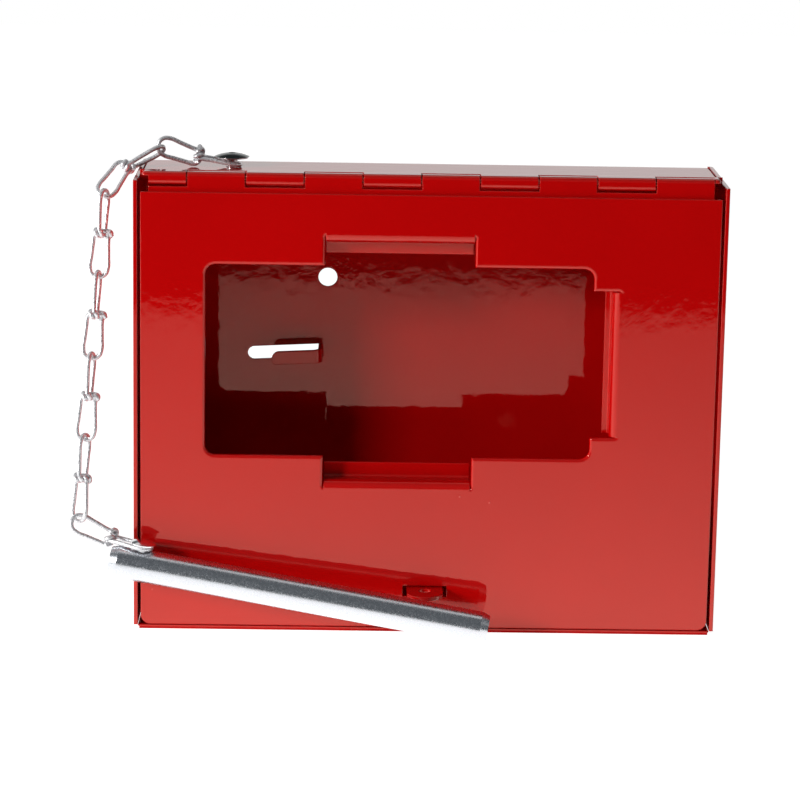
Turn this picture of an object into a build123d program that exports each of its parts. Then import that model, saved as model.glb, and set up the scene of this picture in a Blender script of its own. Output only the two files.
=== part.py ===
"""Break glass key box: a folded steel case with a top-hinged, windowed door, a pane held by three
bent tabs, a seal staple at the bottom, and a striker bar that hangs from a riveted chain.

Millimetres. The origin is the middle of the case's base face, X to the right, Y to the back, Z up.
"""

import os
from math import asin, atan2, cos, hypot, radians, sin, sqrt, tan

from build123d import *

os.makedirs("parts", exist_ok=True)

# Case: one folded sheet
width = 150.0
depth = 40.0
height = 116.6  # base to the outer face of the top flange
sheet = 1.0  # steel sheet of the case, door, hinge leaf and staple
bend = 0.5  # inside radius of a press-brake bend
corner_slit = 0.4  # left open between two flanges where the blank is notched
side_rise = 0.2  # the side flanges stand this much above the top flange
screw_hole = 5.0
screw_in = 26.2  # each wall screw from the case's middle, sideways
screw_up = 27.6  # and upwards or downwards from mid height

# Key hook, lanced out of the back
hook_width = 3.5
hook_tip_top = 2.0  # rounding of the hook's free end, above and below
hook_tip_foot = 1.3
hook_turn = 1.9  # where it turns along the back, at mid sheet
hook_reach = 9.0  # forward, off the back
hook_arm = 14.0
hook_slot = 20.5
hook_root_x = -26.8
hook_root_down = 50.4  # below the case's top
hook_edge = 0.1  # straight sheet between the slot's end and the hook's bend
hook_lean = 3.0  # degrees that the hook and its slot rise to the right

# Hinge: knuckles folded from the case's rim and from the door's leaf, round one pin
pin_diameter = 1.2
pin_play = 0.05
knuckle_width = 14.75  # a short one takes what is left at the rim's left end
knuckle_gap = 0.3
knuckle_bend = 0.6  # at mid sheet
rim_margin = 3.8  # from the case's side to the first knuckle
rim_end = 2.2  # from the case's side to the end of the rim
rim_round = 0.8
rim_sweep = 0.4  # between a knuckle and the cut-out that it turns in
joggle = 2.4  # length of the slope up to the rim
leaf_height = 9.0  # of the leaf's strip, below its fingers

# Door
door_side_gap = 0.8
door_foot_gap = 0.2  # above the bottom flange
door_head_gap = 2.7  # below the top flange's outer face
door_corner = 2.5
window_width = 98.3
window_height = 49.3
window_x = -7.65
window_down = 45.6  # its middle, below the case's top
window_corner = 2.6
notch_width = 38.0
notch_top = 7.9  # how far each notch runs past the window's edge, to its tab's bend
notch_bottom = 8.4
notch_side = 6.95
notch_corner = 0.8
punch_round = 0.75  # the front edge of the window, drawn in by the punch

# Tabs that hold the pane, and the pane
tab_bend = 2.0  # outside radius
tab_relief = 0.2
lip_top = 3.3
lip_bottom = 3.65
lip_side = 1.55
lip_lean = 5.0  # degrees that each lip leans back from the pane
pane_thickness = 3.0
pane_play = 0.6
pane_seat = 0.05
pane_inset = 0.75  # its left end, from the door's left edge

# Seal staple
staple_width = 9.3
staple_reach = 9.7  # in front of the door
staple_z = 12.0  # top face of its tongue
staple_eye = 3.2
staple_eye_reach = 3.4
staple_setback = 2.0  # between the door and its upright
staple_foot = 10.0
staple_play = 0.3
staple_slot_height = 2.9
staple_slot_width = 11.3

# Chain of wire links
wire = 1.15
link_inner_width = 3.3
link_pitch = 10.45
link_play = 0.15
first_rise = 10.1  # degrees that the first link rises from under its rivet
first_lift = 1.0  # of its middle off the case's top, at the rivet
hanging_links = 8  # in the straight run down the case's side
rivet_shank = 3.0
rivet_play = 0.05
rivet_in_x = 23.7  # from the case's left side
rivet_in_y = 12.3  # from the case's back
top_rivet_head = 9.1
bar_rivet_head = 6.4
rivet_dome = 1.3
top_rivet_gap = 2.45  # under its head, where the first link lies
mandrel = 1.7
rivet_bulb = 4.4
rivet_bulb_length = 2.4

# Striker bar
bar_diameter = 8.5
bar_length = 98.0
bar_chamfer = 2.0
bar_chamfer_depth = 0.7
bar_overhang = 7.7  # from the chain's rivet to the bar's near end
bar_rivet_in = 2.8  # rivet from the case's left side, inwards
bar_stand_off = 1.9  # between the bar and the door, at the rivet
bar_toe = 5.2  # degrees that the bar turns away from the door
bar_rivet_depth = 6.0
bar_link_swing = 17.6  # degrees that the last link points away from the bar's line, to the front

front_y = -depth / 2
back_y = depth / 2
left_x = -width / 2
side_in = width / 2 - sheet  # inner face of a side flange
flange_half = side_in - corner_slit
pin_loop = pin_diameter / 2 + pin_play + sheet / 2  # from the pin's axis to mid sheet of a knuckle
knuckle_out = pin_loop + sheet / 2
pin_y = front_y + sheet + knuckle_out
pin_z = height + pin_diameter / 2 + pin_play
rim_z = pin_z + pin_loop
cutout_y = pin_y + knuckle_out + rim_sweep
comb_end = width / 2 - rim_margin
rim_stop = width / 2 - rim_end
knuckle_count = int(2 * comb_end / knuckle_width)  # full-width ones
hook_root_z = height - hook_root_down


def finish(builder, label):
    """Name a finished piece and write it."""
    builder.part.label = label
    export_step(builder.part, f"parts/{label}.step")


def knuckle_spans(first):
    """(middle x, width) of every second knuckle, counted from the comb's right end."""
    spans = []
    for k in range(first, knuckle_count + 1, 2):
        right = comb_end - k * knuckle_width
        left = max(right - knuckle_width, -comb_end)
        spans.append(((left + right) / 2, right - left - knuckle_gap))
    return spans


# Case shell ---------------------------------------------------------------------------------
hook_bend = bend + sheet / 2 + hook_edge  # from the slot's end to mid sheet of the hook
hook_plane = Plane(
    origin=(hook_root_x, back_y - sheet / 2, hook_root_z),
    x_dir=(cos(radians(hook_lean)), 0, sin(radians(hook_lean))),
    z_dir=(-sin(radians(hook_lean)), 0, cos(radians(hook_lean))),
)
with BuildPart() as case_shell:
    # left flange, back and right flange
    with BuildSketch(Plane.XY.offset(sheet)):
        with BuildLine():
            FilletPolyline(
                (-width / 2 + sheet / 2, front_y),
                (-width / 2 + sheet / 2, back_y - sheet / 2),
                (width / 2 - sheet / 2, back_y - sheet / 2),
                (width / 2 - sheet / 2, front_y),
                radius=bend + sheet / 2,
            )
        trace(line_width=sheet)
    extrude(amount=height + side_rise - sheet)
    # between the corners the back belongs to the other fold
    with Locations((0, back_y, height / 2)):
        Box(2 * flange_half, 2 * bend + 3 * sheet, 2 * height, mode=Mode.SUBTRACT)
    # bottom flange, back and top flange with its raised rim and rolled knuckles
    with BuildSketch(Plane.YZ.offset(-flange_half)):
        with BuildLine():
            FilletPolyline(
                (front_y, sheet / 2),
                (back_y - sheet / 2, sheet / 2),
                (back_y - sheet / 2, height - sheet / 2),
                (cutout_y + joggle + sheet, height - sheet / 2),
                (cutout_y + sheet, rim_z),
                (pin_y - pin_loop, rim_z),
                (pin_y - pin_loop, pin_z - pin_loop),
                (pin_y + pin_loop, pin_z - pin_loop),
                (pin_y + pin_loop, pin_z + pin_diameter / 4),
                radius=[bend + sheet / 2] * 4 + [knuckle_bend] * 3,
            )
        trace(line_width=sheet)
    extrude(amount=2 * flange_half)
    # cut-outs for the leaf's fingers
    knuckle_room = 2 * (rim_z - height) + 4 * sheet
    for x, span in knuckle_spans(0):
        with Locations((x, cutout_y, pin_z)):
            Box(
                span + 2 * knuckle_gap,
                2 * (cutout_y - front_y),
                knuckle_room,
                align=(Align.CENTER, Align.MAX, Align.CENTER),
                mode=Mode.SUBTRACT,
            )
    # outside the comb the rim runs forward without a roll under it
    for side in (-1, 1):
        with Locations((side * comb_end, pin_y + knuckle_out + sheet, rim_z - sheet / 2)):
            Box(
                side_in - comb_end,
                2 * knuckle_out + 2 * sheet,
                knuckle_room,
                align=(Align.MIN if side > 0 else Align.MAX, Align.MAX, Align.MAX),
                mode=Mode.SUBTRACT,
            )
        with Locations((side * rim_stop, cutout_y + sheet, rim_z)):
            Box(
                side_in - rim_stop,
                2 * (cutout_y + sheet - front_y),
                4 * sheet,
                align=(Align.MIN if side > 0 else Align.MAX, Align.MAX, Align.CENTER),
                mode=Mode.SUBTRACT,
            )
    # wall screws, one high on the left and one low on the right
    for side in (-1, 1):
        with Locations(
            Location((side * screw_in, back_y, height / 2 - side * screw_up), (90, 0, 0))
        ):
            Hole(radius=screw_hole / 2, depth=2 * sheet)
    # the slot that the hook leaves, round at its far end
    with BuildSketch(Plane(hook_plane.origin, x_dir=hook_plane.x_dir, z_dir=(0, 1, 0))) as slot:
        with Locations((-hook_slot / 2 + hook_width / 4, 0)):
            Rectangle(hook_slot - hook_width / 2, hook_width)
        with Locations((-hook_slot + hook_width / 2, 0)):
            Circle(hook_width / 2)
    extrude(amount=2 * sheet, both=True, mode=Mode.SUBTRACT)
    # the hook: forward from the slot's near end, then along the back to its rounded tip
    with BuildPart():
        with BuildSketch(hook_plane.offset(-hook_width / 2)):
            with BuildLine():
                FilletPolyline(
                    (0, 0),
                    (-hook_bend, 0),
                    (-hook_bend, -hook_reach),
                    (-hook_arm, -hook_reach),
                    radius=[hook_bend - hook_edge, hook_turn],
                )
            trace(line_width=sheet)
        extrude(amount=hook_width)
        with BuildSketch(
            Plane(hook_plane.origin, x_dir=hook_plane.x_dir, z_dir=(0, -1, 0))
        ) as outline:
            Rectangle(hook_arm, hook_width, align=(Align.MAX, Align.CENTER))
            Rectangle(hook_bend, hook_width, align=(Align.MIN, Align.CENTER))
            fillet(outline.vertices().group_by(Axis.X)[0].sort_by(Axis.Y)[-1], hook_tip_top)
            fillet(outline.vertices().group_by(Axis.X)[0].sort_by(Axis.Y)[0], hook_tip_foot)
        extrude(amount=2 * hook_reach, both=True, mode=Mode.INTERSECT)
    # the chain's rivet
    rivet_x = left_x + rivet_in_x
    rivet_y = back_y - rivet_in_y
    with Locations((rivet_x, rivet_y, height)):
        Hole(radius=rivet_shank / 2 + rivet_play, depth=3 * sheet)
    # rounded ends of the rim
    for side in (-1, 1):
        rim_edges = case_shell.edges().filter_by(Axis.Y).filter_by_position(
            Axis.X, side * rim_stop - knuckle_gap, side * rim_stop + knuckle_gap
        )
        fillet(rim_edges.group_by(Axis.Z)[-1], radius=rim_round)
finish(case_shell, "case_shell")


# Seal staple: spot-welded inside the bottom flange, its tongue comes out through the door -------
staple_up_y = front_y + sheet + staple_setback + sheet / 2
with BuildPart() as seal_staple:
    with BuildSketch(Plane.YZ.offset(-staple_width / 2)):
        with BuildLine():
            FilletPolyline(
                (staple_up_y + staple_foot, sheet * 3 / 2),
                (staple_up_y, sheet * 3 / 2),
                (staple_up_y, staple_z - sheet / 2),
                (front_y - staple_reach, staple_z - sheet / 2),
                radius=bend + sheet / 2,
            )
        trace(line_width=sheet)
    extrude(amount=staple_width)
    tongue_tip = seal_staple.edges().filter_by(Axis.Z).group_by(Axis.Y)[0]
    fillet(tongue_tip, radius=staple_width / 2 - 0.1)
    with Locations((0, front_y - staple_eye_reach, staple_z)):
        Hole(radius=staple_eye / 2, depth=2 * sheet)
finish(seal_staple, "seal_staple")

# Hinge pin ------------------------------------------------------------------------------------
with BuildPart() as hinge_pin:
    with BuildSketch(Plane.YZ.offset(-comb_end)):
        with Locations((pin_y, pin_z)):
            Circle(pin_diameter / 2)
    extrude(amount=2 * comb_end)
finish(hinge_pin, "hinge_pin")

# Door panel -----------------------------------------------------------------------------------
door_half = side_in - door_side_gap
door_foot = sheet + door_foot_gap
door_head = height - door_head_gap
door_back = Plane.XZ.offset(-(front_y + sheet))
window_z = height - window_down
window_top = window_z + window_height / 2
window_foot = window_z - window_height / 2
window_right = window_x + window_width / 2
top_bend_z = window_top + notch_top
foot_bend_z = window_foot - notch_bottom
side_bend_x = window_right + notch_side
lip_y = front_y + sheet + pane_thickness + 2 * pane_play + sheet / 2
tab_width = notch_width - 2 * tab_relief
lean = tan(radians(lip_lean))
with BuildPart() as door_panel:
    with BuildSketch(door_back):
        with Locations((0, (door_foot + door_head) / 2)):
            panel = Rectangle(2 * door_half, door_head - door_foot)
        fillet(panel.vertices().group_by(Axis.Y)[0], radius=door_corner)
        with Locations((window_x, window_z)):
            RectangleRounded(window_width, window_height, window_corner, mode=Mode.SUBTRACT)
        for bend_z in (top_bend_z, foot_bend_z):
            with Locations((window_x, (window_z + bend_z) / 2)):
                RectangleRounded(
                    notch_width, abs(bend_z - window_z), notch_corner, mode=Mode.SUBTRACT
                )
        with Locations(((window_x + side_bend_x) / 2, window_z)):
            RectangleRounded(
                side_bend_x - window_x, notch_width, notch_corner, mode=Mode.SUBTRACT
            )
        with Locations((0, staple_z + staple_play - staple_slot_height / 2)):
            Rectangle(staple_slot_width, staple_slot_height, mode=Mode.SUBTRACT)
    extrude(amount=sheet)
    punched = door_panel.faces().filter_by(Axis.Y).sort_by(Axis.Y)[0].inner_wires()
    fillet(punched.sort_by(lambda wire: wire.length)[-1].edges(), radius=punch_round)
    # top and bottom tabs: back from the notch's edge, then a lip towards the window
    for bend_z, lip, way in ((top_bend_z, lip_top, -1), (foot_bend_z, lip_bottom, 1)):
        shelf_z = bend_z + way * (tab_bend - sheet / 2)
        with BuildSketch(Plane.YZ.offset(window_x - tab_width / 2)):
            with BuildLine():
                FilletPolyline(
                    (front_y + sheet / 2, bend_z - way * notch_corner),
                    (front_y + sheet / 2, shelf_z),
                    (lip_y, shelf_z),
                    (lip_y + lean * (sheet / 2 + lip), shelf_z + way * (sheet / 2 + lip)),
                    radius=[tab_bend - sheet / 2, bend + sheet / 2],
                )
            trace(line_width=sheet)
        extrude(amount=tab_width)
    # side tab
    shelf_x = side_bend_x - (tab_bend - sheet / 2)
    with BuildSketch(Plane.XY.offset(window_z - tab_width / 2)):
        with BuildLine():
            FilletPolyline(
                (side_bend_x + notch_corner, front_y + sheet / 2),
                (shelf_x, front_y + sheet / 2),
                (shelf_x, lip_y),
                (shelf_x - sheet / 2 - lip_side, lip_y + lean * (sheet / 2 + lip_side)),
                radius=[tab_bend - sheet / 2, bend + sheet / 2],
            )
        trace(line_width=sheet)
    extrude(amount=tab_width)
finish(door_panel, "door_panel")

# Hinge leaf: a strip spot-welded behind the door, its fingers rolled over the pin ---------------
leaf_y = front_y + 3 * sheet / 2
leaf_head = pin_z - knuckle_out - rim_sweep
leaf_foot = door_head - leaf_height
with BuildPart() as hinge_leaf:
    with BuildSketch(Plane.YZ.offset(-comb_end)):
        with BuildLine():
            FilletPolyline(
                (leaf_y, leaf_foot),
                (leaf_y, pin_z + pin_loop),
                (pin_y + pin_loop, pin_z + pin_loop),
                (pin_y + pin_loop, pin_z - pin_loop),
                (pin_y - pin_diameter / 4, pin_z - pin_loop),
                radius=knuckle_bend,
            )
        trace(line_width=sheet)
    extrude(amount=2 * comb_end)
    for x, span in knuckle_spans(1):
        with Locations((x, pin_y, leaf_head)):
            Box(
                span + 2 * knuckle_gap,
                4 * knuckle_out,
                4 * knuckle_out,
                align=(Align.CENTER, Align.CENTER, Align.MIN),
                mode=Mode.SUBTRACT,
            )
finish(hinge_leaf, "hinge_leaf")

# Glass pane -----------------------------------------------------------------------------------
pane_foot = foot_bend_z + tab_bend + pane_seat
pane_head = top_bend_z - tab_bend - pane_play
pane_left = pane_inset - door_half
pane_right = side_bend_x - tab_bend - pane_play
with BuildPart() as glass_pane:
    with BuildSketch(Plane.XZ.offset(-(front_y + sheet + pane_play + pane_thickness))):
        with Locations(((pane_left + pane_right) / 2, (pane_foot + pane_head) / 2)):
            Rectangle(pane_right - pane_left, pane_head - pane_foot)
    extrude(amount=pane_thickness)
finish(glass_pane, "glass_pane")

# Chain: where it runs ---------------------------------------------------------------------------
link_length = link_pitch + wire + link_play  # between the middles of its two end wires
link_bow = (link_inner_width + wire) / 2  # radius of a link's round ends, at mid wire
bow_span = link_length - 2 * link_bow  # between the middles of a link's two round ends
shank_seat = rivet_shank / 2 + rivet_play + wire / 2  # end wire's middle from a rivet's axis
bar_seat = wire / 2 + link_play  # the last link's middle above the bar
front = Vector(0, -1, 0)
# the way that each link points: off the top, over its edge, down the side, and in to the bar
first_way = Vector(-cos(radians(first_rise)), 0, sin(radians(first_rise)))
edge_ways = [Vector(-9, -2.6, 3.5), Vector(-8.5, -1.9, -4.5), Vector(-5, -6.9, -6.7)]
inward_way = Vector(9.5, 1, -5).normalized()
# degrees that each link is turned about its own length, from square to the front
link_turns = [1, 3, 10, 18, 21, 8, 10, 5, 14, 12, 25, 61, 61]


def turned(number, way):
    """Normal of a link's plane: odd links are seen edge-on from the front, even ones face-on."""
    square = (front - way * front.dot(way)).normalized()
    normal = way.cross(square) if number % 2 else square
    return normal.rotate(Axis((0, 0, 0), tuple(way)), link_turns[number - 1])


def laid(way, normal):
    """The direction way, laid flat into the plane square to normal."""
    return (way - normal * way.dot(normal)).normalized()


def hung(bow, link, next_link):
    """For a link's near bow middle: (where the next one hangs on it, the next one's bow)."""
    (way, normal), (next_way, next_normal) = link, next_link
    pull, lift = laid(next_way, normal), laid(way, next_normal)
    seat = bow + way * bow_span + pull * link_bow
    return seat, seat - (pull + lift).normalized() * (wire + link_play) + lift * link_bow


def bar_frame(tilt):
    """(along, upright) of the bar when its far end is down by tilt radians."""
    toe = radians(bar_toe)
    along = Vector(cos(tilt) * cos(toe), -cos(tilt) * sin(toe), -sin(tilt))
    return along, Vector(sin(tilt) * cos(toe), -sin(tilt) * sin(toe), cos(tilt))


# The bar hangs as low as the chain lets its near end, and its far end rests on the base's level.
rivet_foot = Vector(rivet_x, rivet_y, height + first_lift)
bar_reach = bow_span + link_bow - shank_seat  # of the last link, from its bow to the bar's rivet
rest_rise = bar_diameter + bar_seat
rest_run = bar_length - bar_overhang - bar_chamfer + bar_reach
bar_target = Vector(left_x + bar_rivet_in, front_y - bar_stand_off - bar_diameter / 2, 0)
bar_tilt, aside = 0.0, Vector(0, 0, 0)
for _ in range(12):
    fall = sqrt((hanging_links * link_pitch) ** 2 - aside.X**2 - aside.Y**2)
    hanging_way = Vector(aside.X, aside.Y, -fall).normalized()
    bar_along, bar_up = bar_frame(bar_tilt)
    last_way = bar_along.rotate(Axis((0, 0, 0), tuple(bar_up)), -bar_link_swing)
    link_ways = [first_way, *(way.normalized() for way in edge_ways)]
    link_ways += [hanging_way] * hanging_links + [inward_way, last_way]
    link_normals = [turned(k, way) for k, way in enumerate(link_ways[:-1], start=1)] + [bar_up]
    links = list(zip(link_ways, link_normals))
    seats = [rivet_foot]
    bows = [rivet_foot + first_way * (link_bow - shank_seat)]
    for link, next_link in zip(links, links[1:]):
        seat, bow = hung(bows[-1], link, next_link)
        seats.append(seat)
        bows.append(bow)
    bar_pivot = bows[-1] + last_way * bar_reach  # on the bar rivet's axis, at mid link
    miss = bar_target - bar_pivot
    aside += Vector(miss.X, miss.Y, 0)
    bar_tilt = asin(bar_pivot.Z / hypot(rest_rise, rest_run)) - atan2(rest_rise, rest_run)

# Chain links --------------------------------------------------------------------------------
for number, (bow, (way, normal)) in enumerate(zip(bows, links), start=1):
    flat = Plane(origin=bow, x_dir=way, z_dir=normal)
    with BuildPart() as chain_link:
        with BuildLine(flat) as loop:
            Line((0, -link_bow), (bow_span, -link_bow))
            CenterArc((bow_span, 0), link_bow, -90, 180)
            Line((bow_span, link_bow), (0, link_bow))
            CenterArc((0, 0), link_bow, 90, 180)
        with BuildSketch(Plane(origin=flat.from_local_coords((0, -link_bow, 0)), z_dir=way)):
            Circle(wire / 2)
        sweep(path=loop.wires()[0])
    finish(chain_link, f"chain_link_{number:02d}")

# Rivets and the striker bar ---------------------------------------------------------------------


def rivet_profile(head, under, tail):
    """Half section of a domed rivet: its head from under upwards, its shank down to -tail."""
    bulge = rivet_dome * 0.75
    crown, rim = under + rivet_dome, under + rivet_dome - bulge
    Polyline((0, crown), (0, -tail), (rivet_shank / 2, -tail), (rivet_shank / 2, under))
    Polyline((rivet_shank / 2, under), (head / 2, under), (head / 2, rim))
    RadiusArc((0, crown), (head / 2, rim), (head**2 / 4 + bulge**2) / (2 * bulge))


top_pin_plane = Plane(
    origin=(rivet_x, rivet_y, height), x_dir=(1, 0, 0), z_dir=(0, -1, 0)
)
top_pin_axis = Axis((rivet_x, rivet_y, 0), (0, 0, 1))
mandrel_foot = sheet + rivet_bulb_length  # below the top flange's outer face
with BuildPart() as chain_rivet:
    with BuildSketch(top_pin_plane):
        with BuildLine():
            rivet_profile(top_rivet_head, top_rivet_gap, sheet)
        make_face()
        with Locations((0, -sheet - rivet_bulb_length / 2)):
            RectangleRounded(rivet_bulb, rivet_bulb_length, rivet_bulb / 6)
        with Locations((-rivet_bulb / 2, -mandrel_foot)):
            Rectangle(
                rivet_bulb / 2 + mandrel / 2 + rivet_play,
                3 * mandrel_foot,
                align=(Align.MIN, Align.MIN),
                mode=Mode.SUBTRACT,
            )
    revolve(axis=top_pin_axis)
finish(chain_rivet, "chain_rivet")

with BuildPart() as rivet_mandrel:
    with BuildSketch(Plane.XY.offset(height - mandrel_foot)):
        with Locations((rivet_x, rivet_y)):
            Circle(mandrel / 2)
    extrude(amount=mandrel_foot + top_rivet_gap + rivet_dome / 2)
    with BuildSketch(Plane.XY.offset(height - mandrel_foot - mandrel)):
        with Locations((rivet_x, rivet_y)):
            Circle(rivet_shank / 2)
    extrude(amount=mandrel)
finish(rivet_mandrel, "rivet_mandrel")

bar_axis_point = bar_pivot - bar_up * (bar_diameter / 2 + bar_seat)
bar_section = Plane(
    origin=bar_axis_point - bar_along * bar_overhang,
    x_dir=bar_along,
    z_dir=bar_along.cross(bar_up),
)
with BuildPart() as striker_bar:
    with BuildSketch(bar_section):
        with BuildLine():
            Polyline(
                (0, 0),
                (0, bar_diameter / 2 - bar_chamfer_depth),
                (bar_chamfer, bar_diameter / 2),
                (bar_length - bar_chamfer, bar_diameter / 2),
                (bar_length, bar_diameter / 2 - bar_chamfer_depth),
                (bar_length, 0),
                close=True,
            )
        make_face()
    revolve(axis=Axis(tuple(bar_section.origin), tuple(bar_along)))
    with BuildSketch(Plane(origin=bar_pivot, x_dir=bar_along, z_dir=bar_up)):
        Circle(rivet_shank / 2 + rivet_play)
    extrude(amount=-(bar_seat + bar_rivet_depth), mode=Mode.SUBTRACT)
finish(striker_bar, "striker_bar")

with BuildPart() as bar_rivet:
    with BuildSketch(Plane(origin=bar_pivot, x_dir=bar_along, z_dir=bar_along.cross(bar_up))):
        with BuildLine():
            rivet_profile(bar_rivet_head, bar_seat, bar_seat + bar_rivet_depth - rivet_play)
        make_face()
    revolve(axis=Axis(tuple(bar_pivot), tuple(bar_up)))
finish(bar_rivet, "bar_rivet")
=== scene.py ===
"""A break glass key box, dressed for rendering: a red powder-coated steel box with a glazed,
top-hinged door, a seal staple, and a zinc striker bar that hangs on a knotted wire chain."""

import math

import bmesh
import bpy
import numpy as np
from mathutils import Matrix, Quaternion, Vector


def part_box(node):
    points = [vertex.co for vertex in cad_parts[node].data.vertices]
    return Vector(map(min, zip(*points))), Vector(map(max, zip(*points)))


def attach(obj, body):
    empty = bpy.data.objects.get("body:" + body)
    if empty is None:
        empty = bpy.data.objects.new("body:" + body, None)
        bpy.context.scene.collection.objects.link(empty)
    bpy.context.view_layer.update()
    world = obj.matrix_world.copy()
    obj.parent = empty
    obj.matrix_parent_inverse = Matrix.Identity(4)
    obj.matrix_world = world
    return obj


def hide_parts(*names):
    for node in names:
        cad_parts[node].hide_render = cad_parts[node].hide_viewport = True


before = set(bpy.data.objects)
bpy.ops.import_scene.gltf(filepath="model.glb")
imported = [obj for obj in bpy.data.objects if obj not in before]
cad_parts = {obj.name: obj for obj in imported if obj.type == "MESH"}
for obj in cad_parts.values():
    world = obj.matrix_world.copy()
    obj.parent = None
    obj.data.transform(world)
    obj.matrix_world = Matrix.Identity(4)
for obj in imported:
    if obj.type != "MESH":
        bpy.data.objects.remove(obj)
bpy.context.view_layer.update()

# Case: one folded sheet of 1 mm steel with its hook and knuckles, and the seal staple fixed in it,
# all powder coated in one go. The coat is glossy and thick, so it rounds every sheet edge and lies
# in a faint orange peel with a few specks of dust in it. The specks' lighter pink is a painted
# highlight.
coat_red = (0.47, 0.0012, 0.0015)
# the dust specks' lighter pink is a painted highlight
speck_glint_pink = (0.62, 0.10, 0.09)
gloss_tint = (1.0, 0.47, 0.38)
coat_dullness = 0.02
edge_rounding = 0.00045  # metres, like the three heights of the coat's relief
peel_height = 0.000075
stipple_height = 0.000012
speck_height = 0.00012
speck_size = 0.045  # as a share of the spacing between grains
bare_cells = 0.86  # the share of the grains' cells that have no speck


def reckon(tree, operation, first, second=0):
    """One step of arithmetic in a node tree, on sockets or plain numbers."""
    step = tree.nodes.new("ShaderNodeMath")
    step.operation = operation
    for socket, value in zip(step.inputs, (first, second)):
        if isinstance(value, (int, float)):
            socket.default_value = value
        else:
            tree.links.new(value, socket)
    return step.outputs["Value"]


def rescale(tree, value, spread, onto, smooth=False):
    """Carries a socket's value from one spread, low to high, onto another."""
    step = tree.nodes.new("ShaderNodeMapRange")
    step.inputs["From Min"].default_value, step.inputs["From Max"].default_value = spread
    step.inputs["To Min"].default_value, step.inputs["To Max"].default_value = onto
    if smooth:
        step.interpolation_type = "SMOOTHSTEP"
    tree.links.new(value, step.inputs["Value"])
    return step.outputs["Result"]


def blend(tree, share, first, second, kind="MIX"):
    """Lays one colour over another, each a socket or a plain colour."""
    step = tree.nodes.new("ShaderNodeMix")
    step.data_type = "RGBA"
    step.blend_type = kind
    for name, value in (("Factor", share), ("A", first), ("B", second)):
        if isinstance(value, tuple):
            step.inputs[name].default_value = (*value, 1)
        elif isinstance(value, float):
            step.inputs[name].default_value = value
        else:
            tree.links.new(value, step.inputs[name])
    return step.outputs["Result"]


def noise(tree, place, scale, detail):
    """A cloudy pattern that keeps its place on the piece."""
    cloud = tree.nodes.new("ShaderNodeTexNoise")
    cloud.inputs["Scale"].default_value = scale
    cloud.inputs["Detail"].default_value = detail
    tree.links.new(place, cloud.inputs["Vector"])
    return cloud.outputs["Fac"]


def relief(tree, pattern, strength, height, under=None):
    """Raises the surface by a pattern, on top of the relief under it."""
    step = tree.nodes.new("ShaderNodeBump")
    step.inputs["Strength"].default_value = strength
    step.inputs["Distance"].default_value = height
    tree.links.new(pattern, step.inputs["Height"])
    if under is not None:
        tree.links.new(under, step.inputs["Normal"])
    return step.outputs["Normal"]


def give_finish(piece, finish):
    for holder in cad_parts[piece].material_slots:
        holder.material = finish


red_coat = bpy.data.materials.new("red_powder_coat")
red_coat.use_nodes = True
tree = red_coat.node_tree
paint = tree.nodes["Principled BSDF"]
paint.inputs["Roughness"].default_value = coat_dullness
paint.inputs["IOR"].default_value = 1.56
paint.inputs["Specular IOR Level"].default_value = 1.0
paint.inputs["Specular Tint"].default_value = (*gloss_tint, 1)
place = tree.nodes.new("ShaderNodeTexCoord").outputs["Object"]

# the pigment lies a little thicker and thinner across the sheet
thickness = rescale(tree, noise(tree, place, 38, 3), (0.3, 0.7), (0.97, 1.03))
pigment = blend(tree, 1.0, coat_red, thickness, "MULTIPLY")

# a few grains of dust stand up through the coat, each with a painted highlight in its lighter pink
grains = tree.nodes.new("ShaderNodeTexVoronoi")
grains.inputs["Scale"].default_value = 115
tree.links.new(place, grains.inputs["Vector"])
near = rescale(tree, grains.outputs["Distance"], (0.0, speck_size), (1.0, 0.0), smooth=True)
chance = tree.nodes.new("ShaderNodeSeparateColor")
tree.links.new(grains.outputs["Color"], chance.inputs["Color"])
rare = reckon(tree, "GREATER_THAN", chance.outputs["Red"], bare_cells)
speck_and_glint = reckon(tree, "MULTIPLY", near, rare)
tree.links.new(blend(tree, speck_and_glint, pigment, speck_glint_pink), paint.inputs["Base Color"])

# the surface: rounded sheet edges, then the orange peel, a fine stipple and the specks
rounded = tree.nodes.new("ShaderNodeBevel")
rounded.samples = 6
rounded.inputs["Radius"].default_value = edge_rounding
peel = relief(tree, noise(tree, place, 300, 3), 0.35, peel_height, rounded.outputs["Normal"])
stipple = relief(tree, noise(tree, place, 520, 1), 0.35, stipple_height, peel)
tree.links.new(relief(tree, speck_and_glint, 0.5, speck_height, stipple), paint.inputs["Normal"])

give_finish("case_shell", red_coat)
give_finish("seal_staple", red_coat)

# Corner seams: where two folded flanges meet, the coat bridges the seam behind the open corner, so
# a bead of it runs along the inside of each lower corner.
case_low, case_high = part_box("case_shell")
sheet_thickness = 0.001
bead_width, bead_height = 0.0008, 0.0006
bead_rounding = 0.0002
bead_sunk = 0.00005  # how far a bead reaches into the side of the case
corner_bite = 0.0013  # the seam stays open this far behind the front edge
bead_length = case_high[1] - case_low[1] - corner_bite - 1.5 * sheet_thickness
bead_out = case_high[0] - sheet_thickness - bead_width / 2 + bead_sunk

for side, bead_name in ((-1, "seam_bead_left"), (1, "seam_bead_right")):
    blank = bmesh.new()
    bmesh.ops.create_cube(blank, size=1)
    bmesh.ops.scale(blank, vec=(bead_width, bead_length, bead_height), verts=blank.verts)
    bmesh.ops.bevel(blank, geom=blank.edges[:], offset=bead_rounding, offset_type="OFFSET",
                    affect="EDGES", segments=2, profile=0.5, material=-1)
    bmesh.ops.translate(blank, verts=blank.verts, vec=(
        side * bead_out,
        case_low[1] + corner_bite + bead_length / 2,
        case_low[2] + sheet_thickness / 2))
    run = bpy.data.meshes.new(bead_name)
    blank.to_mesh(run)
    blank.free()
    run.materials.append(red_coat)
    bead = bpy.data.objects.new(bead_name, run)
    bpy.context.collection.objects.link(bead)
    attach(bead, "case")

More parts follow.
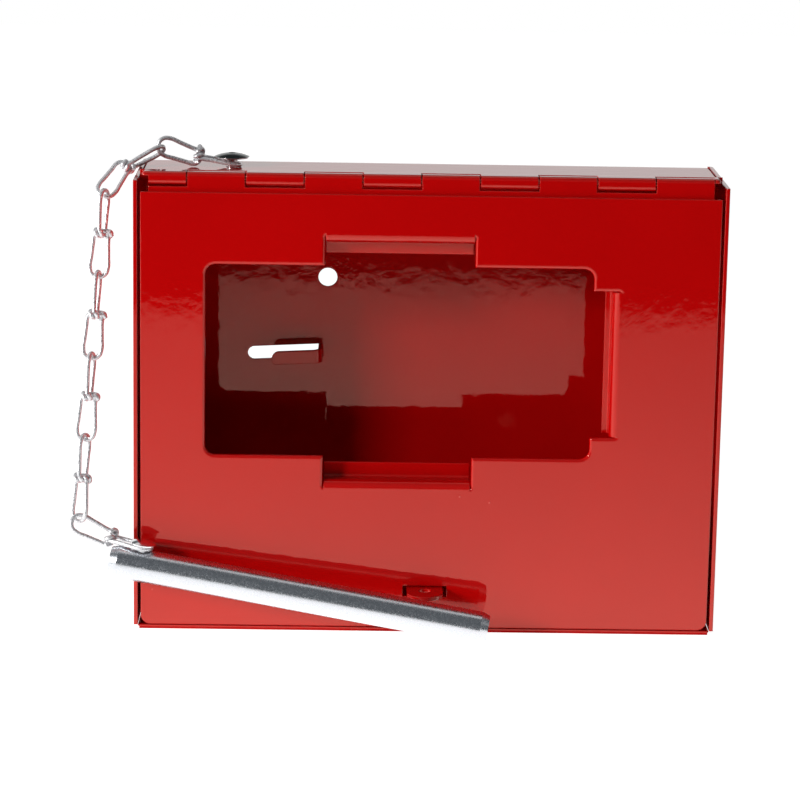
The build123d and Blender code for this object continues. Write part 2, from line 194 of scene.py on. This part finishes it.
# Hinge pin: a thin steel wire through the rolled knuckles of case and door. The box is coated with
# its pin in place, so the pin's ends are red too.
give_finish("hinge_pin", red_coat)

# Door: a flat sheet with its window and three folded tabs, and the hinge leaf spot-welded behind
# it. Both are coated together, in the same red as the case.
give_finish("door_panel", red_coat)
give_finish("hinge_leaf", red_coat)

# Pane: thin clear glass, cut to size and held behind the window by the door's three tabs. It is
# clean, so all that shows of it is a faint sheen at a low angle.
glass_clear = (0.985, 0.99, 0.988)
glass_sheen = 0.12

pane_glass = bpy.data.materials.new("pane_glass")
pane_glass.use_nodes = True
tree = pane_glass.node_tree
tree.nodes.remove(tree.nodes["Principled BSDF"])
through = tree.nodes.new("ShaderNodeBsdfTransparent")
through.inputs["Color"].default_value = (*glass_clear, 1)
sheen = tree.nodes.new("ShaderNodeBsdfGlossy")
sheen.inputs["Roughness"].default_value = 0.01
facing = tree.nodes.new("ShaderNodeLayerWeight")
facing.inputs["Blend"].default_value = 0.04
weight = reckon(tree, "MULTIPLY", facing.outputs["Fresnel"], glass_sheen)
clear_sheet = tree.nodes.new("ShaderNodeMixShader")
tree.links.new(weight, clear_sheet.inputs["Fac"])
tree.links.new(through.outputs["BSDF"], clear_sheet.inputs[1])
tree.links.new(sheen.outputs["BSDF"], clear_sheet.inputs[2])
tree.links.new(clear_sheet.outputs["Shader"], tree.nodes["Material Output"].inputs["Surface"])
give_finish("glass_pane", pane_glass)

# Chain rivet: a blind rivet through the case's top. Its flat-domed head is blackened on the upper
# side only, its rim and shank are bright, and the steel mandrel is broken off in its middle.
dome_height = 0.00095
black_edge = 0.0001  # the blackening ends softly, over this much on each side
rivet_black = (0.035, 0.045, 0.042)
rivet_bright = (0.80, 0.80, 0.81)
mandrel_grey = (0.16, 0.17, 0.17)
plating_tooth = 0.00004


def plated_steel(name, tone, roughness, flake, dapple, metallic=1.0):
    """Steel under a thin bright plating, whose small flakes differ in tone and in gloss."""
    plate = bpy.data.materials.new(name)
    plate.use_nodes = True
    tree = plate.node_tree
    metal = tree.nodes["Principled BSDF"]
    metal.inputs["Metallic"].default_value = metallic
    place = tree.nodes.new("ShaderNodeTexCoord").outputs["Object"]
    spangle = tree.nodes.new("ShaderNodeTexVoronoi")
    spangle.inputs["Scale"].default_value = flake
    tree.links.new(place, spangle.inputs["Vector"])
    grey = tree.nodes.new("ShaderNodeRGBToBW")
    tree.links.new(spangle.outputs["Color"], grey.inputs["Color"])
    shade = rescale(tree, grey.outputs["Val"], (0, 1), (1 - dapple, 1))
    dulling = rescale(tree, grey.outputs["Val"], (0, 1), (roughness * 0.7, roughness * 1.4))
    tooth = relief(tree, noise(tree, place, flake * 1.7, 4), 0.4, plating_tooth)
    tree.links.new(blend(tree, 1.0, tone, shade, "MULTIPLY"), metal.inputs["Base Color"])
    tree.links.new(dulling, metal.inputs["Roughness"])
    tree.links.new(tooth, metal.inputs["Normal"])
    return plate


rivet_finish = plated_steel("rivet_blackened", rivet_bright, 0.16, 2200, 0.1)
tree = rivet_finish.node_tree
metal = tree.nodes["Principled BSDF"]
level = tree.nodes.new("ShaderNodeSeparateXYZ")
tree.links.new(tree.nodes["Texture Coordinate"].outputs["Object"], level.inputs["Vector"])
rivet_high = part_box("chain_rivet")[1]
black_down_to = rivet_high[2] - dome_height
blackened = rescale(tree, level.outputs["Z"],
                    (black_down_to - black_edge, black_down_to + black_edge), (0, 1))
bare = metal.inputs["Base Color"].links[0].from_socket
tree.links.new(blend(tree, blackened, bare, rivet_black), metal.inputs["Base Color"])
give_finish("chain_rivet", rivet_finish)
give_finish("rivet_mandrel", plated_steel("mandrel_steel", mandrel_grey, 0.3, 2200, 0.2))

# Chain: fourteen links, each bent from one piece of bright wire. One end is a plain bow. At the
# other the wire closes on itself: each of its two tails is hooked once round the other leg and
# cropped there.
wire_bright = (0.72, 0.72, 0.735)
wire_radius = 0.575  # millimetres, like all sizes of a link
bow_radius = 2.225
bow_to_bow = 7.3
leg_out = 2.35  # the legs bulge a little between the plain bow and the knot
leg_waist = leg_out - 0.15

# along the link from the plain bow's centre, sideways towards the knot, and out of its plane
link_path = [
    (7.90, 1.05, -0.55), (8.10, 1.80, -0.85), (8.70, 2.45, -0.50), (9.35, 2.40, -0.15),
    (9.60, 1.60, -0.10), (bow_to_bow + bow_radius, 0.00, 0.00), (9.30, -1.10, 0.00),
    (8.35, -1.85, 0.00), (6.50, -2.00, 0.00), (3.00, -leg_waist, 0.00), (0.20, -leg_out, 0.00),
    (-1.55, -1.70, 0.00), (-bow_radius, 0.00, 0.00), (-1.55, 1.70, 0.00),
    (0.20, leg_out, 0.00), (3.00, leg_waist, 0.00), (6.40, 1.95, 0.10), (8.40, 1.90, 0.30),
    (9.20, 1.75, 0.75), (9.35, 2.10, 1.20), (8.90, 2.70, 1.20), (8.35, 2.95, 0.95),
]

# which way each link's knot points, down the chain, and how many degrees some have rolled
up, front, right = Vector((0, 0, 1)), Vector((0, -1, 0)), Vector((1, 0, 0))
knot_side = [front, up, *[front, right] * 5, up, front]
rolled_by = {3: 18, 12: 20}


def lie_of(link):
    """Where a plain link's middle is, and its directions along and across."""
    link.data.calc_loop_triangles()
    corners = np.array([v.co for v in link.data.vertices])
    faces = np.array([t.vertices for t in link.data.loop_triangles])
    a, b, c = corners[faces[:, 0]], corners[faces[:, 1]], corners[faces[:, 2]]
    area = np.linalg.norm(np.cross(b - a, c - a), axis=1)[:, None]
    middle = (area * (a + b + c) / 3).sum(axis=0) / area.sum()
    spread = (a + b + c) / 3 - middle
    turned = np.linalg.eigh((area * spread).T @ spread)[1]
    return Vector(middle), Vector(turned[:, 2]), Vector(turned[:, 1])


def middle_of(rivet):
    low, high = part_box(rivet)
    return (Vector(low) + Vector(high)) / 2


bright_wire = plated_steel("bright_wire", wire_bright, 0.30, 2600, 0.08, metallic=0.6)
plain_links = [f"chain_link_{number:02d}" for number in range(1, 15)]
lies = [lie_of(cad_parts[name]) for name in plain_links]
stations = [middle_of("chain_rivet"), *(lie[0] for lie in lies), middle_of("bar_rivet")]

for number, (name, (middle, along, across)) in enumerate(zip(plain_links, lies), start=1):
    if along.dot(stations[number + 1] - stations[number - 1]) < 0:
        along = -along
    if number % 2 == 0:  # every second link hangs with its knot up
        along = -along
    if across.dot(knot_side[number - 1]) < 0:
        across = -across
    across.rotate(Quaternion(along, math.radians(rolled_by.get(number, 0))))
    out_of_plane = across.cross(along)
    bent = bpy.data.curves.new(f"wire_link_{number:02d}", "CURVE")
    bent.dimensions = "3D"
    bent.bevel_depth = wire_radius / 1000
    bent.bevel_resolution = 4
    bent.resolution_u = 8
    bent.use_fill_caps = True
    bent.materials.append(bright_wire)
    wire_run = bent.splines.new("BEZIER")
    wire_run.bezier_points.add(len(link_path) - 1)
    for point, (u, v, n) in zip(wire_run.bezier_points, link_path):
        bend = (u - bow_to_bow / 2) * along + v * across + n * out_of_plane
        point.co = middle + bend / 1000
        point.handle_left_type = point.handle_right_type = "AUTO"
    wire_link = bpy.data.objects.new(f"wire_link_{number:02d}", bent)
    bpy.context.collection.objects.link(wire_link)
    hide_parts(name)
    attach(wire_link, f"link_{number:02d}")

# Striker bar: a turned round bar, chamfered at both ends and zinc plated, with a spangle in the
# zinc. A bright rivet through its near end carries the chain's last link.
zinc_blue = (0.70, 0.725, 0.76)
bar_rivet_bright = (0.88, 0.88, 0.89)
give_finish("striker_bar", plated_steel("bar_zinc", zinc_blue, 0.22, 3400, 0.14))
give_finish("bar_rivet", plated_steel("bright_rivet", bar_rivet_bright, 0.12, 2200, 0.08))

# Studio: a white light table that ends in front of the box, a white backdrop, white cards at both
# sides and above, and a dim room behind the viewer. In reflections the table shows a painted pool
# of light, brightest beside the box and falling off towards its front end, and a painted shadow
# right under the box.
table_wide, table_deep = 5.0, 2.1
table_front = -0.475
front_fade = 0.05
door_front = -0.02
painted_pool_reach = 0.33  # how far in front of the door the painted pool of light falls to a third
# the painted shadow in the table's reflected glow covers the box's footprint, to these half sizes
shadow_half_wide, shadow_half_deep = 0.078, 0.022
glow_in_gloss, glow_in_view, glow_in_light = 1.35, 0.985, 0.90

bpy.ops.mesh.primitive_plane_add(size=1)
table_top = bpy.context.object
table_top.name = "table_top"
table_top.data.transform(Matrix.Translation((0, table_front + table_deep / 2, 0))
                         @ Matrix.Diagonal((table_wide, table_deep, 1, 1)))
table_white = bpy.data.materials.new("table_white")
table_white.use_nodes = True
tree = table_white.node_tree
chalk = tree.nodes["Principled BSDF"]
chalk.inputs["Base Color"].default_value = (0.5, 0.5, 0.5, 1)
chalk.inputs["Roughness"].default_value = 0.9
chalk.inputs["Specular IOR Level"].default_value = 0.0
ray = tree.nodes.new("ShaderNodeLightPath")
spot = tree.nodes.new("ShaderNodeSeparateXYZ")
tree.links.new(tree.nodes.new("ShaderNodeTexCoord").outputs["Object"], spot.inputs["Vector"])

# painted light in the table's glow, for reflections only: a pool of light that falls off in front
# of the door, and a shadow where the box stands
before_door = reckon(tree, "MAXIMUM", reckon(tree, "SUBTRACT", door_front, spot.outputs["Y"]))
painted_light_pool = reckon(tree, "POWER", math.e, reckon(tree, "DIVIDE", before_door, -painted_pool_reach))
beside = reckon(tree, "GREATER_THAN", reckon(tree, "ABSOLUTE", spot.outputs["X"]), shadow_half_wide)
clear = reckon(tree, "GREATER_THAN", reckon(tree, "ABSOLUTE", spot.outputs["Y"]), shadow_half_deep)
fade = rescale(tree, spot.outputs["Y"], (table_front, table_front + front_fade), (0, 1),
               smooth=True)
outside_painted_shadow = reckon(tree, "MULTIPLY", reckon(tree, "MAXIMUM", beside, clear), fade)
in_gloss = reckon(tree, "MULTIPLY",
                  reckon(tree, "MULTIPLY", ray.outputs["Is Glossy Ray"], glow_in_gloss),
                  reckon(tree, "MULTIPLY", painted_light_pool, outside_painted_shadow))
in_view = reckon(tree, "MULTIPLY", ray.outputs["Is Camera Ray"], glow_in_view)
in_light = reckon(tree, "MULTIPLY", ray.outputs["Is Diffuse Ray"], glow_in_light)
glow = tree.nodes.new("ShaderNodeEmission")
tree.links.new(reckon(tree, "ADD", reckon(tree, "ADD", in_gloss, in_view), in_light),
               glow.inputs["Strength"])
lit_white = tree.nodes.new("ShaderNodeAddShader")
tree.links.new(chalk.outputs["BSDF"], lit_white.inputs[0])
tree.links.new(glow.outputs["Emission"], lit_white.inputs[1])
tree.links.new(lit_white.outputs["Shader"], tree.nodes["Material Output"].inputs["Surface"])
table_top.data.materials.append(table_white)


def glowing_card(name, location, turn, size, strength):
    """A white card that lights up the gloss only, and looks plain white to the viewer."""
    bpy.ops.mesh.primitive_plane_add(size=1, location=location,
                                     rotation=tuple(math.radians(a) for a in turn))
    card = bpy.context.object
    card.name = name
    card.scale = (*size, 1)
    face = bpy.data.materials.new(name)
    face.use_nodes = True
    tree = face.node_tree
    tree.nodes.remove(tree.nodes["Principled BSDF"])
    light = tree.nodes.new("ShaderNodeEmission")
    ray = tree.nodes.new("ShaderNodeLightPath")
    to_eye = reckon(tree, "MULTIPLY", ray.outputs["Is Camera Ray"], 1.0 - strength)
    tree.links.new(reckon(tree, "ADD", to_eye, strength), light.inputs["Strength"])
    tree.links.new(light.outputs["Emission"], tree.nodes["Material Output"].inputs["Surface"])
    card.data.materials.append(face)
    card.visible_diffuse = False
    card.visible_shadow = False
    return card


backdrop = glowing_card("backdrop", (0, 1.6, 0.45), (90, 0, 0), (6.0, 1.1), 0.92)
card_left = glowing_card("card_left", (-0.75, -0.15, 0.35), (90, 0, 90), (0.9, 0.7), 0.8)
card_right = glowing_card("card_right", (0.75, -0.15, 0.35), (90, 0, 90), (0.9, 0.7), 0.6)
card_top = glowing_card("card_top", (0, 0.20, 0.95), (180, 0, 0), (1.2, 0.7), 0.75)
for card in (card_left, card_right, card_top):
    card.visible_camera = False

world = bpy.data.worlds.new("studio")
bpy.context.scene.world = world
world.use_nodes = True
tree = world.node_tree
room = tree.nodes["Background"]
room.inputs["Color"].default_value = (0.86, 0.93, 1.0, 1)
height = tree.nodes.new("ShaderNodeSeparateXYZ")
tree.links.new(tree.nodes.new("ShaderNodeTexCoord").outputs["Generated"], height.inputs["Vector"])
above_table = rescale(tree, height.outputs["Z"], (-0.02, 0.12), (0.003, 0.13))
ray = tree.nodes.new("ShaderNodeLightPath")
mirrored = reckon(tree, "MULTIPLY", above_table, ray.outputs["Is Glossy Ray"])
tree.links.new(reckon(tree, "ADD", mirrored, 0.008), room.inputs["Strength"])
white = tree.nodes.new("ShaderNodeBackground")
white.inputs["Color"].default_value = (1, 1, 1, 1)
white.inputs["Strength"].default_value = 1.0
pick = tree.nodes.new("ShaderNodeMixShader")
tree.links.new(ray.outputs["Is Camera Ray"], pick.inputs["Fac"])
tree.links.new(room.outputs["Background"], pick.inputs[1])
tree.links.new(white.outputs["Background"], pick.inputs[2])
tree.links.new(pick.outputs["Shader"], tree.nodes["World Output"].inputs["Surface"])

box_middle = Vector((0, 0, 0.07))


def softbox(name, azimuth, elevation, distance, size, power, in_gloss):
    """A lamp seen from the box at these degrees left of the front and above the table."""
    turn, rise = math.radians(azimuth), math.radians(elevation)
    away = Vector((-math.sin(turn) * math.cos(rise), -math.cos(turn) * math.cos(rise),
                   math.sin(rise)))
    lamp = bpy.data.lights.new(name, "AREA")
    lamp.shape = "RECTANGLE"
    lamp.size, lamp.size_y = size
    lamp.energy = power
    stand = bpy.data.objects.new(name, lamp)
    bpy.context.collection.objects.link(stand)
    stand.location = box_middle + distance * away
    stand.rotation_euler = (-away).to_track_quat("-Z", "Y").to_euler()
    stand.visible_glossy = in_gloss
    stand.visible_camera = False


softbox("key_left", 50.5, 18, 1.3, (0.24, 0.24), 10.0, True)
softbox("side_left", 72, 8, 1.2, (0.5, 0.4), 8.0, True)
softbox("front", -5, 48, 1.4, (0.9, 0.4), 1.5, False)

# Camera: a long lens, three quarters of a metre in front of the box. It looks down on it by a good
# twelve degrees, and is turned and rolled by about one.
eye_place = (-0.019295, -0.776653, 0.227603)
pitch, yaw, roll = math.radians(-12.392), math.radians(0.920), math.radians(0.973)
picture_wide, focal_length = 800, 3041.8  # pixels

lens = bpy.data.cameras.new("view")
lens.sensor_width = 36
lens.lens = 36 * focal_length / picture_wide
lens.clip_start = 0.05
eye = bpy.data.objects.new("view", lens)
bpy.context.collection.objects.link(eye)
ahead = Vector((math.sin(yaw) * math.cos(pitch), math.cos(yaw) * math.cos(pitch),
                math.sin(pitch)))
level = Vector((math.cos(yaw), -math.sin(yaw), 0))
above = level.cross(ahead)
rightward = math.cos(roll) * level + math.sin(roll) * above
upward = -math.sin(roll) * level + math.cos(roll) * above
turn = Matrix((rightward, upward, -ahead)).transposed().to_4x4()
eye.matrix_world = Matrix.Translation(eye_place) @ turn
bpy.context.scene.camera = eye
bpy.context.scene.view_settings.view_transform = "Standard"
